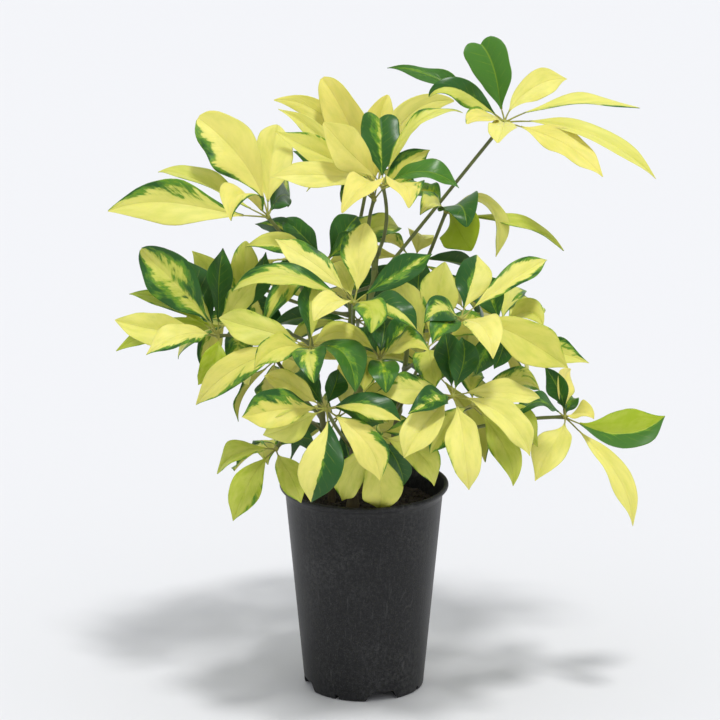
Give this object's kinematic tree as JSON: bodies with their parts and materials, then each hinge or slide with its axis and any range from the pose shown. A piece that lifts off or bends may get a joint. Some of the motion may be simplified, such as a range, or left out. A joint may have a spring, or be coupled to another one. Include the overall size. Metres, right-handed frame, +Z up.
{
  "type": "potted umbrella plant",
  "caption": "Potted umbrella plant: leafy stems of variegated leaves, each a ring of drooping leaflets, in soil in a plain black tapered nursery pot with a rolled rim.",
  "frame": {"origin": "centre of the pot's flat base, on the floor", "axes": "+Z up along the pot's axis, +X to the right as seen from the front, -Y towards the viewer"},
  "size_m": [0.5439, 0.4366, 0.6416],
  "materials": {
    "pot_plastic": "moulded black plastic, satin, with faint scuffs and a greyer worn rim",
    "soil": "damp, crumbly dark potting compost, matte",
    "foliage": "smooth living leaves, pale yellow with dark green and lime markings and a waxy gloss, on olive stalks and brown stems",
    "stem_bark": "thin brown bark, matte"
  },
  "bodies": {
    "root": {"pot": "pot_plastic", "soil": "soil", "leafy_stem_left": "foliage", "leafy_stem_middle": "foliage", "leafy_stem_right": "foliage", "leafy_stem_back": "foliage"}
  },
  "joints": []
}
